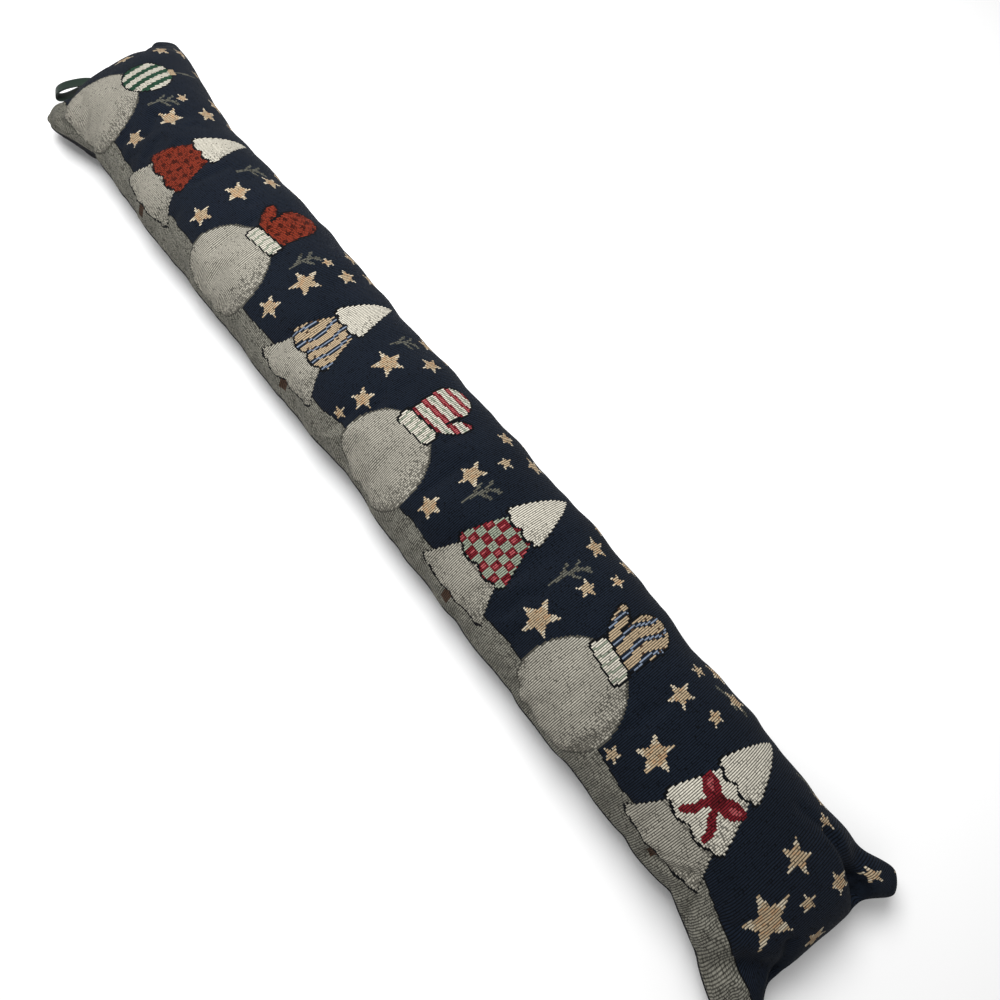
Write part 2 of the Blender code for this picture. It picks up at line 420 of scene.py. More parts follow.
NAVY = yarn(21, 28, 39)
INK = yarn(12, 14, 18)
PALE_GREY = yarn(162, 158, 146)
OFF_WHITE = yarn(196, 191, 177)
MARL = yarn(128, 126, 116)
TAN = yarn(171, 151, 123)
TAN_PALE = yarn(192, 180, 158)
TAN_WARM = yarn(172, 142, 110)
BROWN = yarn(70, 52, 40)
BRICK = yarn(122, 45, 28)
WINE = yarn(106, 26, 34)
ROSE = yarn(160, 74, 78)
SAGE = yarn(140, 147, 130)
GREEN = yarn(36, 70, 52)
BLUE = yarn(118, 130, 148)
TWIG = yarn(88, 88, 80)
BACK_BLACK = yarn(30, 30, 33)
RIBBON_GREEN = yarn(16, 36, 26)

# The share of dark ticks that shows between the navy floats
NAVY_TICKS = 0.05


class Weave:
    """One colour for each pick of each rib, painted with shapes from the back forwards."""

    def __init__(self):
        along = (np.arange(RIBS) + 0.5) / RIBS * 2 - 1
        up = (np.arange(PICKS) + 0.5) / PICKS * 2 - 1
        self.along, self.up = np.meshgrid(along * HALF_LENGTH, up * HALF_HEIGHT, indexing="ij")
        self.random = np.random.default_rng(12)
        self.colours = np.tile(NAVY, (RIBS, PICKS, 1))
        self.ticks = np.full((RIBS, PICKS), NAVY_TICKS)

    def paint(self, mask, colour, ticks=0.04):
        """Cover a mask with a yarn; ticks is the share of dark floats that show between."""
        self.colours[mask] = colour
        self.ticks[mask] = np.broadcast_to(ticks, mask.shape)[mask]

    def speckle(self, mask, colour, share):
        """Let a darker or lighter yarn show at short random floats over part of a mask."""
        floats = self.random.random((RIBS, PICKS // 2)).repeat(2, axis=1)
        self.colours[mask & (floats < share)] = colour

    def local(self, along, up, tilt=0.0):
        """Give this place's own coordinates: to its right and up it, in millimetres."""
        right = (self.along - along) * 1000
        rise = (self.up - up) * 1000
        return (
            right * math.cos(tilt) + rise * math.sin(tilt),
            rise * math.cos(tilt) - right * math.sin(tilt),
        )


FIFTH = 2 * math.pi / 5
STAR_WAIST = 0.42


def star(weave, along, up, radius, tilt):
    """A five-pointed star of tan yarn with paler points; radius in millimetres."""
    right, rise = weave.local(along, up, tilt)
    distance = np.hypot(right, rise)
    angle = np.arctan2(right, rise)
    wedge = np.abs((angle / FIFTH + 0.5) % 1 - 0.5) * FIFTH
    out, beside = distance * np.cos(wedge), distance * np.sin(wedge)
    waist = radius * STAR_WAIST
    waist_out, waist_beside = waist * math.cos(FIFTH / 2), waist * math.sin(FIFTH / 2)
    inside = out * waist_beside + beside * (radius - waist_out) <= radius * waist_beside
    weave.paint(inside, TAN)
    weave.speckle(inside & (distance > radius * 0.52), TAN_PALE, 0.65)
    weave.speckle(inside & (distance < radius * 0.5), TAN_WARM, 0.3)


def oval(right, rise, x, y, half_width, half_height, turn=0.0):
    """Tell what lies inside an oval."""
    across = (right - x) * math.cos(turn) + (rise - y) * math.sin(turn)
    upright = (rise - y) * math.cos(turn) - (right - x) * math.sin(turn)
    return (across / half_width) ** 2 + (upright / half_height) ** 2 <= 1


def band(right, rise, left, right_end, low, high, corner=0.0):
    """Tell what lies inside an upright rectangle with rounded corners."""
    over = np.hypot(
        np.maximum(0, np.abs(right - (left + right_end) / 2) - (right_end - left) / 2 + corner),
        np.maximum(0, np.abs(rise - (low + high) / 2) - (high - low) / 2 + corner),
    )
    return over <= max(corner, 1e-6)


def stroke(right, rise, points, width):
    """Tell what lies within half a width of a line through points."""
    near = np.full(right.shape, 1e9)
    for (x0, y0), (x1, y1) in zip(points, points[1:]):
        step = np.array([x1 - x0, y1 - y0])
        share = np.clip(((right - x0) * step[0] + (rise - y0) * step[1]) / (step @ step), 0, 1)
        near = np.minimum(near, np.hypot(right - x0 - share * step[0], rise - y0 - share * step[1]))
    return near <= width / 2


def tier(right, rise, low, high, half_width):
    """Tell what lies inside one bough of a fir: broad and festooned below, a point above."""
    share = np.clip((rise - low) / (high - low), 0, 1)
    bulge = half_width * (1 - share) ** 0.86 * np.minimum(1, (share + 0.05) / 0.16) ** 0.4
    festoon = 3.2 * np.abs(np.sin(right / half_width * np.pi * 1.5))
    return (np.abs(right) < bulge) & (rise > low + 3.2 - festoon) & (rise < high)


def plain(weave, mask, right, rise):
    weave.paint(mask, OFF_WHITE, 0.04 + 0.30 * smooth((right - 2) / 12))


def green_stripes(weave, mask, right, rise):
    weave.paint(mask, OFF_WHITE)
    weave.paint(mask & ((right + rise * 0.35) % 10 < 4.6), GREEN)


def check(weave, mask, right, rise):
    weave.paint(mask, SAGE)
    odd = (np.floor((right + 60) / 6) + np.floor((rise + 60) / 6)) % 2 == 0
    weave.paint(mask & odd, WINE, 0.10)
    inner = (np.abs((right + 60) % 6 - 3) < 1.1) & (np.abs((rise + 60) % 6 - 3) < 1.6)
    weave.paint(mask & odd & inner, ROSE, 0.10)


def wine_stripes(weave, mask, right, rise):
    weave.paint(mask, OFF_WHITE)
    weave.paint(mask & (rise % 10 < 4.2), WINE)
    weave.paint(mask & (np.abs(rise % 10 - 2.1) < 0.8), ROSE)
    weave.paint(mask & (np.abs(rise % 10 - 7.2) < 0.7), SAGE)


def blue_stripes(weave, mask, right, rise):
    weave.paint(mask, TAN)
    wavy = (right + 1.6 * np.sin(rise / 5)) % 10
    weave.paint(mask & (wavy < 3.6), NAVY)
    weave.paint(mask & (np.abs(wavy - 1.8) < 0.8), BLUE)
    weave.speckle(mask, BROWN, 0.03)


def brick_dots(weave, mask, right, rise):
    weave.paint(mask, BRICK, 0.26)
    row = np.floor(rise / 7)
    dot = np.hypot((right + 3.5 * (row % 2)) % 9 - 4.5, rise % 7 - 3.5) < 1.9
    weave.paint(mask & dot, BRICK * 0.35, 0.30)


def fir(weave, along, boughs, bow=False):
    """A snowy fir on a short trunk, with three boughs; boughs paints the middle one."""
    right, rise = weave.local(along, 0)
    weave.paint(band(right, rise, -3.2, 3.2, -65, -46), BROWN, 0.1)
    shade = 0.04 + 0.45 * smooth((right - 5) / 22) + 0.20 * smooth((-40 - rise) / 14)
    shade = np.maximum(shade, 0.50 * (np.abs(rise + 24.5) < 2.5))
    weave.paint(tier(right, rise, -55.5, 8, 36), INK)
    weave.paint(tier(right, rise, -54, 8, 34.5), PALE_GREY, shade)
    weave.paint(tier(right, rise, -26.5, 32, 27.5), INK)
    boughs(weave, tier(right, rise, -25, 32, 26), right, rise)
    weave.paint(tier(right, rise, 6.5, 54, 19.5), INK)
    plain(weave, tier(right, rise, 8, 54, 18), right, rise)
    if bow:
        ribbon_bow(weave, right, rise + 4)


def ribbon_bow(weave, right, rise):
    """A tied bow with two loops and two tails."""
    tails = stroke(right, rise, [(-1, 0), (-5, -6), (-6, -12), (-10, -16)], 4.6)
    tails |= stroke(right, rise, [(1, 0), (4, -7), (9, -11), (11, -17)], 4.6)
    loops = oval(right, rise, -8.5, 3, 8.5, 5, -0.42) | oval(right, rise, 8.5, 3, 8.5, 5, 0.42)
    weave.paint(tails | loops, WINE, 0.14)
    holes = oval(right, rise, -10, 3.6, 4, 1.7, -0.42) | oval(right, rise, 10, 3.6, 4, 1.7, 0.42)
    weave.paint(holes, ROSE, 0.12)
    weave.paint(oval(right, rise, 0, 1, 3.6, 4.2), WINE * 0.6, 0.2)


def mound(weave, along):
    """A rounded mound of snow that leans out over the bank."""
    right, rise = weave.local(along, -0.0330)
    share = np.hypot(right / 35, rise / 37)
    shade = 0.04 + 0.50 * smooth((right - 6) / 24) * smooth((share - 0.35) / 0.5)
    shade += 0.35 * smooth((share - 0.8) / 0.2) * smooth((4 - rise) / 16)
    weave.paint(oval(right, rise, 0, 0, 36.2, 38.2), MARL * 0.35, 0)
    weave.paint(share <= 1, PALE_GREY, shade)


def mitten(weave, along, up, tilt, knit, mirror=1):
    """A mitten, cuff down; knit paints the hand."""
    right, rise = weave.local(along, up, tilt)
    right = right * mirror
    for margin in (1.4, 0.0):
        hand = oval(right, rise, 0, 14, 13.5 + margin, 18 + margin)
        hand |= band(right, rise, -12.5 - margin, 13 + margin, -9, 14, 3)
        thumb = oval(right, rise, -17.0, 3, 4.8 + margin, 12 + margin, 0.62)
        if margin:
            weave.paint(hand | thumb, INK)
        else:
            knit(weave, hand | thumb, right, rise)
    weave.paint(stroke(right, rise, [(-13.5, 12), (-11.5, 1)], 2.2), INK)
    weave.paint(band(right, rise, -16, 16, -20, -7.5, 3), INK)
    cuff = band(right, rise, -14.5, 14.5, -19, -9, 3)
    weave.paint(cuff, OFF_WHITE)
    weave.paint(cuff & (right % 5.7 < 1.5), SAGE)


def bauble(weave, along, up, radius, knit):
    """A round bauble on a thread, with a cap."""
    right, rise = weave.local(along, up)
    weave.paint(stroke(right, rise, [(0, radius), (2, radius + 24)], 2.0), TWIG)
    weave.paint(oval(right, rise, 0, 0, radius + 1.4, radius + 1.4), INK)
    knit(weave, oval(right, rise, 0, 0, radius, radius), right, rise)
    weave.paint(band(right, rise, -4, 4, radius - 1, radius + 4, 1), TAN)


def sprig(weave, along, up, tilt, size):
    """A bare sprig: a thin stem with short side shoots."""
    right, rise = weave.local(along, up, tilt)
    mask = stroke(right, rise, [(0, 0), (size * 0.5, 2.5), (size, 0.5)], 2.2)
    for share, lean in ((0.3, 6), (0.45, -6), (0.62, 5), (0.78, -4.5)):
        foot = (size * share, 2.0)
        mask |= stroke(right, rise, [foot, (size * share + 6, foot[1] + lean)], 2.0)
    weave.paint(mask & (weave.colours == NAVY).all(-1), TWIG, 0.2)


# Stars of the front: place along and up the flat cloth, radius in millimetres, tilt in degrees
STARS = (
    (0.4075, -0.0175, 15.0, 12), (0.3945, 0.0120, 10.0, 46), (0.4200, 0.0240, 8.2, 20),
    (0.4150, 0.0020, 6.0, 5), (0.4300, 0.0450, 8.0, 60), (0.4400, -0.0035, 7.0, 30),
    (0.4480, -0.0420, 6.5, 15), (0.3880, 0.0640, 8.0, 50), (0.4440, 0.0700, 6.0, 10),
    (0.3960, 0.0470, 6.2, 66), (0.3100, 0.0520, 8.5, 30), (0.3010, -0.0130, 12.5, 55),
    (0.2850, 0.0200, 9.5, 20), (0.3080, 0.0270, 6.5, 10), (0.2900, 0.0620, 10.0, 44),
    (0.2810, 0.0440, 6.0, 70), (0.2850, -0.0330, 6.5, 30), (0.1930, -0.0150, 13.5, 30),
    (0.1970, 0.0170, 7.0, 66), (0.1780, 0.0430, 9.5, 5), (0.2010, 0.0600, 9.0, 62),
    (0.1670, 0.0660, 7.0, 15), (0.2050, 0.0370, 6.0, 48), (0.0880, 0.0080, 10.0, 35),
    (0.0880, -0.0240, 9.5, 8), (0.0770, 0.0470, 8.0, 60), (0.1040, 0.0560, 9.5, 25),
    (0.0940, 0.0310, 6.0, 10), (0.0840, 0.0700, 6.0, 40), (-0.0060, -0.0140, 9.0, 52),
    (-0.0180, 0.0140, 12.0, 15), (-0.0020, 0.0400, 9.0, 36), (-0.0250, 0.0600, 9.0, 5),
    (-0.0040, 0.0650, 6.0, 62), (-0.0110, -0.0330, 6.0, 64), (-0.1130, 0.0060, 12.0, 22),
    (-0.1150, -0.0230, 9.5, 48), (-0.1050, 0.0360, 8.5, 12), (-0.1020, 0.0640, 9.5, 66),
    (-0.1260, 0.0590, 8.5, 30), (-0.1220, 0.0300, 5.8, 20), (-0.2160, -0.0200, 9.5, 18),
    (-0.2160, 0.0110, 11.0, 58), (-0.2180, 0.0420, 9.0, 40), (-0.2060, 0.0660, 9.0, 8),
    (-0.2320, 0.0640, 6.5, 33), (-0.3210, -0.0220, 9.0, 26), (-0.3190, 0.0090, 11.5, 47),
    (-0.3140, 0.0400, 9.5, 14), (-0.3320, 0.0620, 10.0, 60), (-0.3070, 0.0660, 7.0, 20),
    (-0.3360, 0.0280, 6.0, 35), (-0.4310, -0.0200, 8.5, 12), (-0.4130, 0.0100, 7.5, 50),
    (-0.4060, 0.0380, 8.0, 28), (-0.4240, 0.0250, 6.5, 5), (-0.4080, 0.0600, 9.0, 56),
    (-0.3800, 0.0680, 7.0, 20),
)

BANK_EDGE = -0.0400
BANK_WAVES = (Wave(0.0012, 0.116, 0.8), Wave(0.0008, 0.047, 2.0))


def woven_front():
    """Paint the whole front; return each pick's colour with its share of dark ticks."""
    weave = Weave()
    for along, up, radius, tilt in STARS:
        star(weave, along, up, radius, math.radians(tilt))
    edge = BANK_EDGE + waves(BANK_WAVES, weave.along)
    weave.paint(weave.up < edge + 0.0010, INK)
    weave.paint(weave.up < edge, MARL, 0.26 + 0.2 * smooth((weave.up - edge + 0.006) / 0.006))

    sprig(weave, 0.296, 0.046, 0.2, 24)
    sprig(weave, 0.180, 0.002, 1.3, 26)
    sprig(weave, 0.100, -0.006, 1.2, 22)
    sprig(weave, -0.032, 0.026, 1.2, 20)
    sprig(weave, -0.130, 0.004, 1.5, 22)
    sprig(weave, -0.236, 0.022, 1.3, 22)
    sprig(weave, -0.340, 0.002, 1.2, 20)
    sprig(weave, 0.366, 0.058, 0.3, 22)

    for along in (0.241, 0.037, -0.167, -0.371):
        mound(weave, along)
    mitten(weave, 0.243, 0.0140, -0.12, blue_stripes)
    mitten(weave, 0.035, 0.0150, 0.10, wine_stripes, -1)
    mitten(weave, -0.165, 0.0160, 0.14, brick_dots)
    bauble(weave, -0.371, 0.0150, 18, green_stripes)
    fir(weave, 0.343, plain, bow=True)
    fir(weave, 0.139, check)
    fir(weave, -0.065, blue_stripes)
    fir(weave, -0.269, brick_dots)

    weave.colours *= weave.random.uniform(0.92, 1.08, (RIBS, PICKS, 1))
    return np.concatenate([weave.colours, weave.ticks[..., None]], axis=-1)


def add_object(bm, name, *materials):
    """Turn a bmesh into a smooth-shaded piece with its materials."""
    mesh = bpy.data.meshes.new(name)
    bm.to_mesh(mesh)
    bm.free()
    for mat in materials:
        mesh.materials.append(mat)
    mesh.shade_smooth()
    obj = bpy.data.objects.new(name, mesh)
    bpy.context.scene.collection.objects.link(obj)
    return obj


def cloth_grid(columns, rows):
    """Start a flat grid from -1 to 1 each way, with its place on the cloth as its UV map."""
    bm = bmesh.new()
    bmesh.ops.create_grid(bm, x_segments=columns, y_segments=rows, size=1)
    cloth_map = bm.loops.layers.uv.new(CLOTH_MAP)
    for square in bm.faces:
        for loop in square.loops:
            loop[cloth_map].uv = ((loop.vert.co.x + 1) / 2, (loop.vert.co.y + 1) / 2)
    return bm


def new_material(name, roughness, sheen):
    """Start a cloth material and return it with its nodes, links and shader."""
    mat = bpy.data.materials.new(name)
    mat.use_nodes = True
    nodes, links = mat.node_tree.nodes, mat.node_tree.links
    shader = nodes["Principled BSDF"]
    shader.inputs["Roughness"].default_value = roughness
    shader.inputs["Metallic"].default_value = 0
    shader.inputs["Specular IOR Level"].default_value = 0.06
    shader.inputs["Sheen Weight"].default_value = sheen
    shader.inputs["Sheen Roughness"].default_value = 0.5
    return mat, nodes, links, shader


def maths(nodes, links, operation, *values):
    """Add a Math node; each value is a number or another node's output."""
    node = nodes.new("ShaderNodeMath")
    node.operation = operation
    for socket, value in zip(node.inputs, values):
        if isinstance(value, (int, float)):
            socket.default_value = value
        else:
            links.new(value, socket)
    return node.outputs[0]


def spread(nodes, links, value, low, high, to_low, to_high):
    """Add a Map Range node with soft ends."""
    node = nodes.new("ShaderNodeMapRange")
    node.interpolation_type = "SMOOTHSTEP"
    links.new(value, node.inputs["Value"])
    for name, number in (("From Min", low), ("From Max", high), ("To Min", to_low), ("To Max", to_high)):
        node.inputs[name].default_value = number
    return node.outputs["Result"]


def tinted(nodes, links, colour, factor):
    """Make a colour darker or lighter by a factor."""
    node = nodes.new("ShaderNodeVectorMath")
    node.operation = "SCALE"
    links.new(colour, node.inputs[0])
    links.new(factor, node.inputs["Scale"])
    return node.outputs[0]


def bumped(nodes, links, shader, height, distance):
    """Feed a height into the shader's normal."""
    bump = nodes.new("ShaderNodeBump")
    bump.inputs["Distance"].default_value = distance
    bump.inputs["Strength"].default_value = 1.0
    links.new(height, bump.inputs["Height"])
    links.new(bump.outputs["Normal"], shader.inputs["Normal"])


def noise(nodes, links, scale, detail):
    """Add a Noise node in the piece's own space."""
    node = nodes.new("ShaderNodeTexNoise")
    node.inputs["Scale"].default_value = scale
    node.inputs["Detail"].default_value = detail
    links.new(nodes.new("ShaderNodeTexCoord").outputs["Object"], node.inputs["Vector"])
    return node.outputs["Fac"]


def cloth_place(nodes, links):
    """Read where a point lies on the flat cloth, from 0 to 1 each way."""
    cloth = nodes.new("ShaderNodeUVMap")
    cloth.uv_map = CLOTH_MAP
    place = nodes.new("ShaderNodeSeparateXYZ")
    links.new(cloth.outputs["UV"], place.inputs[0])
    return place


def tapestry_material():
    """Ribs across the width: light yarn floats with dark gaps, notched where each float ends. The gaps'
    darkness is partly the dark yarn between ribs and partly painted shade in the grooves, and the notches
    are darkened with painted shade.
    """
    mat, nodes, links, shader = new_material("Woven tapestry", 0.92, 0.02)
    place = cloth_place(nodes, links)
    rib = maths(nodes, links, "MULTIPLY", place.outputs["X"], RIBS)
    rib_number = maths(nodes, links, "FLOOR", rib)
    in_rib = maths(nodes, links, "PINGPONG", rib, 0.5)
    crest = spread(nodes, links, in_rib, 0.04, 0.30, 0, 1)

    pick = maths(nodes, links, "MULTIPLY", place.outputs["Y"], FLOATS_UP)
    white = nodes.new("ShaderNodeTexWhiteNoise")
    white.noise_dimensions = "1D"
    links.new(rib_number, white.inputs["W"])
    shifted = maths(nodes, links, "ADD", pick, white.outputs["Value"])
    in_float = maths(nodes, links, "PINGPONG", shifted, 0.5)
    full = spread(nodes, links, in_float, 0.0, 0.10, 0, 1)
    fuzz = noise(nodes, links, 900, 3)
    wear = noise(nodes, links, 26, 2)

    colour = nodes.new("ShaderNodeAttribute")
    colour.attribute_name = "Yarn"
    tick_row = maths(nodes, links, "MULTIPLY_ADD", place.outputs["Y"], TICKS_UP, white.outputs["Value"])
    tick_cell = nodes.new("ShaderNodeCombineXYZ")
    links.new(rib_number, tick_cell.inputs["X"])
    links.new(maths(nodes, links, "FLOOR", tick_row), tick_cell.inputs["Y"])
    chance = nodes.new("ShaderNodeTexWhiteNoise")
    chance.noise_dimensions = "2D"
    links.new(tick_cell.outputs[0], chance.inputs["Vector"])
    tick = maths(nodes, links, "LESS_THAN", chance.outputs["Value"], colour.outputs["Alpha"])

    # The rib's colour falls to the gap's towards each groove: partly the dark yarn between ribs, partly
    # painted shade in the groove
    gap = maths(nodes, links, "MULTIPLY_ADD", colour.outputs["Alpha"], 0.55, 0.22)
    lit = maths(nodes, links, "MAXIMUM", crest, gap)
    # Painted shade darkens the notch where each float ends
    light = maths(nodes, links, "MULTIPLY", lit, spread(nodes, links, full, 0, 1, 0.84, 1.0))
    light = maths(nodes, links, "MULTIPLY", light, spread(nodes, links, tick, 0, 1, 1.0, 0.38))
    light = maths(nodes, links, "MULTIPLY", light, spread(nodes, links, fuzz, 0.25, 0.75, 0.82, 1.12))
    light = maths(nodes, links, "MULTIPLY", light, spread(nodes, links, wear, 0.3, 0.7, 0.93, 1.05))
    links.new(tinted(nodes, links, colour.outputs["Color"], light), shader.inputs["Base Color"])
    height = maths(nodes, links, "MULTIPLY", crest, spread(nodes, links, full, 0, 1, 0.7, 1.0))
    height = maths(nodes, links, "ADD", height, maths(nodes, links, "MULTIPLY", fuzz, 0.35))
    bumped(nodes, links, shader, height, 0.00045)
    return mat


def laid_on_form(bm, face):
    """Lay a flat grid on the form's front or back; return where its points were on the flat cloth."""
    flat = np.array([vert.co[:2] for vert in bm.verts])
    along, up = flat[:, 0] * HALF_LENGTH, flat[:, 1] * HALF_HEIGHT
    for vert, place in zip(bm.verts, place_on_form(along, up, face)):
        vert.co = place
    if face < 0:
        bmesh.ops.reverse_faces(bm, faces=bm.faces[:])
    bm.normal_update()
    return along, up


def build_tapestry_front(wrinkles):
    """The woven front: one grid cell to each pick of each rib, so the design steps as it does in cloth."""
    bm = cloth_grid(RIBS, PICKS)
    along, up = laid_on_form(bm, 1)
    for vert, depth in zip(bm.verts, sunk(along, up) - wrinkle_height(wrinkles[1], along, up)):
        vert.co -= vert.normal * depth

    rim = [edge for edge in bm.edges if edge.is_boundary]
    hem = bmesh.ops.extrude_edge_only(bm, edges=rim)["geom"]
    for vert in (item for item in hem if isinstance(item, bmesh.types.BMVert)):
        vert.co.x -= math.copysign(HEM, vert.co.x) * (abs(vert.co.x) > HEM_ENDS_FROM)
        vert.co.y -= math.copysign(HEM, vert.co.y)
        vert.co.z += HEM_RISE
    bm.normal_update()

    obj = add_object(bm, "tapestry_cloth", tapestry_material())
    mesh = obj.data
    cells = np.zeros(len(mesh.loops) * 2, np.float32)
    mesh.uv_layers[CLOTH_MAP].uv.foreach_get("vector", cells)
    cells = cells.reshape(-1, 4, 2).mean(1)
    ribs = np.clip((cells[:, 0] * RIBS).astype(int), 0, RIBS - 1)
    picks = np.clip((cells[:, 1] * PICKS).astype(int), 0, PICKS - 1)
    colours = woven_front()[ribs, picks].repeat(4, axis=0)
    attribute = mesh.attributes.new("Yarn", "FLOAT_COLOR", "CORNER")
    attribute.data.foreach_set("color", colours.astype(np.float32).ravel())
    return obj


def back_material():
    """Plain black cloth with a fine plain weave, lighter on its raised thread crossings and darker in its
    dips: painted highlight and painted shade.
    """
    mat, nodes, links, shader = new_material("Back cloth", 0.95, 0.02)
    place = cloth_place(nodes, links)
    along = maths(nodes, links, "MULTIPLY", place.outputs["X"], 2 * math.pi * BACK_WARPS)
    up = maths(nodes, links, "MULTIPLY", place.outputs["Y"], 2 * math.pi * BACK_WEFTS)
    warp = maths(nodes, links, "SINE", along)
    weft = maths(nodes, links, "SINE", up)
    cross = maths(nodes, links, "MULTIPLY", warp, weft)
    fuzz = noise(nodes, links, 700, 3)
    lint = noise(nodes, links, 45, 4)
    base = nodes.new("ShaderNodeRGB")
    base.outputs[0].default_value = (*BACK_BLACK, 1)
    # Painted highlight on the weave's raised crossings and painted shade in its dips; fuzz and lint are the
    # yarn's own
    light = spread(nodes, links, cross, -1, 1, 0.75, 1.15)
    light = maths(nodes, links, "MULTIPLY", light, spread(nodes, links, fuzz, 0.25, 0.75, 0.8, 1.2))
    light = maths(nodes, links, "MULTIPLY", light, spread(nodes, links, lint, 0.3, 0.75, 0.9, 1.2))
    links.new(tinted(nodes, links, base.outputs[0], light), shader.inputs["Base Color"])
    height = maths(nodes, links, "ADD", cross, fuzz)
    bumped(nodes, links, shader, height, 0.00018)
    return mat


def build_filled_body(wrinkles):
    """The plain back with the filling it holds, closed under the front panel."""
    halves = []
    for face in (-1, 1):
        bm = cloth_grid(BACK_COLUMNS, BACK_ROWS)
        along, up = laid_on_form(bm, face)
        depths = back_sunk(along, up) if face < 0 else sunk(along, up) + CLOTH + GAP
        depths -= wrinkle_height(wrinkles[face], along, up)
        for vert, depth in zip(bm.verts, depths):
            if not vert.is_boundary:
                vert.co -= vert.normal * depth
                vert.co.z = max(0.0, vert.co.z)
        for vert in bm.verts:
            if vert.is_boundary:
                vert.co.z -= EDGE_DROP[face]
                vert.co.y += math.copysign(SEAM_PROUD, vert.co.y)
        halves.append(bm)
    body, front = halves
    mesh = bpy.data.meshes.new("front side")
    front.to_mesh(mesh)
    front.free()
    body.from_mesh(mesh)
    bpy.data.meshes.remove(mesh)
    bmesh.ops.bridge_loops(body, edges=[edge for edge in body.edges if edge.is_boundary])
    bmesh.ops.recalc_face_normals(body, faces=body.faces[:])
    return add_object(body, "filled_back", back_material())


def back_sunk(along, up):
    """Give how far the back sinks: puckers along the seam and shallow drag lines."""
    to_seam = 1 - np.abs(up) / HALF_HEIGHT
    pucker = waves(PUCKER_WAVES, along * 1.07 + np.sign(up) * 0.17) + 0.0006
    depth = np.maximum(pucker, 0) * bell(to_seam - 0.06, 0.16) * 1.3
    return depth * smooth(to_seam / SEAM_FIRM)


# The ribbon loop, as in the part's source, with its real cloth inside that thickness
RIBBON_WIDTH = 0.0095
RIBBON_THICKNESS = 0.0012
RIBBON_CLOTH = 0.0008
RIBBON_CURL = 0.0003
RIBBON_ROOT_V = -0.09
LOOP_REACH = 0.0525
LOOP_OPEN = 0.0055
LOOP_BEND_RADIUS = 0.026
LOOP_SWING = math.radians(56)
LOOP_DROOP = 0.0075
SEAM_SAMPLE = 0.05
LOOP_STEPS = 110
RIBBON_ROWS = 6
RIBBON_RIBS = 120


def loop_point(share, width_share):
    """Give a point of the ribbon: share runs along it from root to root, width_share across it."""
    reach = LOOP_REACH * math.sin(math.pi * share)
    swing = min(reach / LOOP_BEND_RADIUS, LOOP_SWING)
    beyond = reach - swing * LOOP_BEND_RADIUS
    out = LOOP_BEND_RADIUS * math.sin(swing) + beyond * math.cos(swing)
    sideways = LOOP_BEND_RADIUS * (1 - math.cos(swing)) + beyond * math.sin(swing)
    rise = LOOP_OPEN * math.sin(2 * math.pi * share) * math.sin(math.pi * share)
    rise += RIBBON_THICKNESS * math.cos(math.pi * share)
    rise -= LOOP_DROOP * (reach / LOOP_REACH) ** 2
    across = width_share * RIBBON_WIDTH / 2
    return Vector((-out - across * math.sin(swing), -sideways + across * math.cos(swing), rise))


def ribbon_material():
    """Dark green ribbon with fine cross ribs and a smooth sheen; painted highlight on the rib crests and
    painted shade in the troughs, and the colour darkens towards both edges.
    """
    mat, nodes, links, shader = new_material("Green ribbon", 0.55, 0.05)
    shader.inputs["Specular IOR Level"].default_value = 0.3
    place = cloth_place(nodes, links)
    ribs = maths(nodes, links, "MULTIPLY", place.outputs["X"], RIBBON_RIBS)
    crest = maths(nodes, links, "PINGPONG", ribs, 0.5)
    edge = maths(nodes, links, "PINGPONG", place.outputs["Y"], 0.5)
    # Darker and lower towards both edges of the ribbon
    darker_edges = spread(nodes, links, edge, 0.0, 0.09, 0.7, 1.0)
    fuzz = noise(nodes, links, 800, 3)
    base = nodes.new("ShaderNodeRGB")
    base.outputs[0].default_value = (*RIBBON_GREEN, 1)
    # Painted highlight on the rib crests and painted shade in the troughs
    light = maths(nodes, links, "MULTIPLY", spread(nodes, links, crest, 0, 0.5, 0.75, 1.1), darker_edges)
    light = maths(nodes, links, "MULTIPLY", light, spread(nodes, links, fuzz, 0.3, 0.7, 0.85, 1.1))
    links.new(tinted(nodes, links, base.outputs[0], light), shader.inputs["Base Color"])
    bumped(nodes, links, shader, maths(nodes, links, "ADD", crest, darker_edges), 0.00012)
    return mat


def build_ribbon():
    """The ribbon: out of the end seam, round its bight and back under itself."""
    ends = cushion_points(
        np.array([-1.0, -1.0]), np.array([RIBBON_ROOT_V - SEAM_SAMPLE, RIBBON_ROOT_V + SEAM_SAMPLE]), 1
    )
    left, right = (Vector(place) for place in ends)
    seam = right - left
    square_to_seam = Matrix.Rotation(math.atan2(-seam.x, seam.y), 3, "Z")
    root = (left + right) / 2 + square_to_seam @ Vector((-GAP, 0, 0))
    bm = cloth_grid(LOOP_STEPS, RIBBON_ROWS)
    for vert in bm.verts:
        share, across = (vert.co.x + 1) / 2, vert.co.y
        place = root + square_to_seam @ loop_point(share, across)
        place.z += RIBBON_CURL * across * across * math.sin(share * 9)
        vert.co = place
    obj = add_object(bm, "ribbon_loop", ribbon_material())
    solid = obj.modifiers.new("Thickness", "SOLIDIFY")
    solid.thickness = RIBBON_CLOTH
    solid.offset = 0
    return obj


def build_floor():
    """A plain pale floor, which isn't part of the object."""
    bm = bmesh.new()
    bmesh.ops.create_grid(bm, x_segments=1, y_segments=1, size=6)
    mat, nodes, links, shader = new_material("Studio floor", 0.9, 0.0)
    shader.inputs["Base Color"].default_value = (0.9, 0.9, 0.9, 1)
    add_object(bm, "studio_floor", mat)


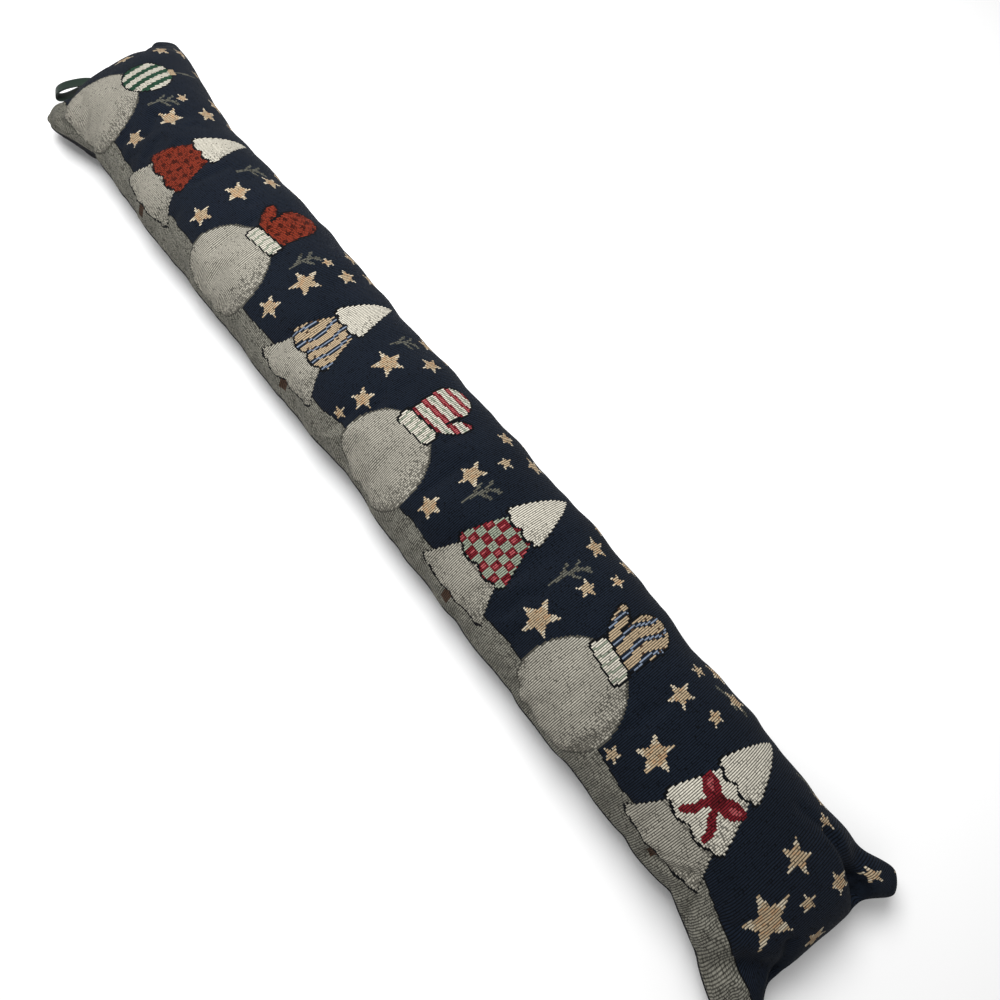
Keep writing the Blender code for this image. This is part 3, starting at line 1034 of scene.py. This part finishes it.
def add_lamp(name, place, aim, size, power):
    """Add a square soft light that faces a point."""
    lamp = bpy.data.lights.new(name, "AREA")
    lamp.energy = power
    lamp.shape = "SQUARE"
    lamp.size = size
    obj = bpy.data.objects.new(name, lamp)
    bpy.context.scene.collection.objects.link(obj)
    obj.location = place
    obj.rotation_euler = (Vector(aim) - Vector(place)).to_track_quat("-Z", "Y").to_euler()


def build_light():
    """Soft studio light: an even world, a softbox overhead and a weak one at the side."""
    world = bpy.data.worlds.new("Studio")
    world.use_nodes = True
    world.node_tree.nodes["Background"].inputs["Color"].default_value = (1, 1, 1, 1)
    world.node_tree.nodes["Background"].inputs["Strength"].default_value = 0.46
    bpy.context.scene.world = world
    add_lamp("Overhead softbox", (-0.20, 0.14, 0.80), (-0.14, 0, 0), 0.6, 11.0)
    add_lamp("Side softbox", (0.9, -1.4, 1.6), (0, 0, 0), 1.2, 2)


def build_camera():
    """Set the camera from the fitted direction: azimuth from -Y, elevation and roll."""
    azimuth, elevation, roll = math.radians(51.70), math.radians(70.06), math.radians(-0.14)
    back = Vector((
        math.sin(azimuth) * math.cos(elevation),
        -math.cos(azimuth) * math.cos(elevation),
        math.sin(elevation),
    ))
    level = (-back).cross(Vector((0, 0, 1))).normalized()
    upward = level.cross(-back)
    right = math.cos(roll) * level + math.sin(roll) * upward
    up = -math.sin(roll) * level + math.cos(roll) * upward
    camera = bpy.data.objects.new("Camera", bpy.data.cameras.new("Camera"))
    bpy.context.scene.collection.objects.link(camera)
    camera.data.sensor_width = 36
    camera.data.lens = 36 * 0.7795
    camera.data.clip_start = 0.01
    turned = Matrix((right, up, back)).transposed().to_4x4()
    camera.matrix_world = Matrix.Translation((0.2551, -0.0979, 0.5655)) @ turned
    bpy.context.scene.camera = camera


bpy.context.scene.view_settings.view_transform = "Standard"
build_camera()
build_light()
build_floor()

wrinkles = settled_wrinkles()
front = build_tapestry_front(wrinkles)
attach(front, "root")
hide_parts("tapestry_front")

body = build_filled_body(wrinkles)
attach(body, "root")
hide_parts("filled_body")

ribbon = build_ribbon()
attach(ribbon, "root")
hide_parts("hanging_loop")
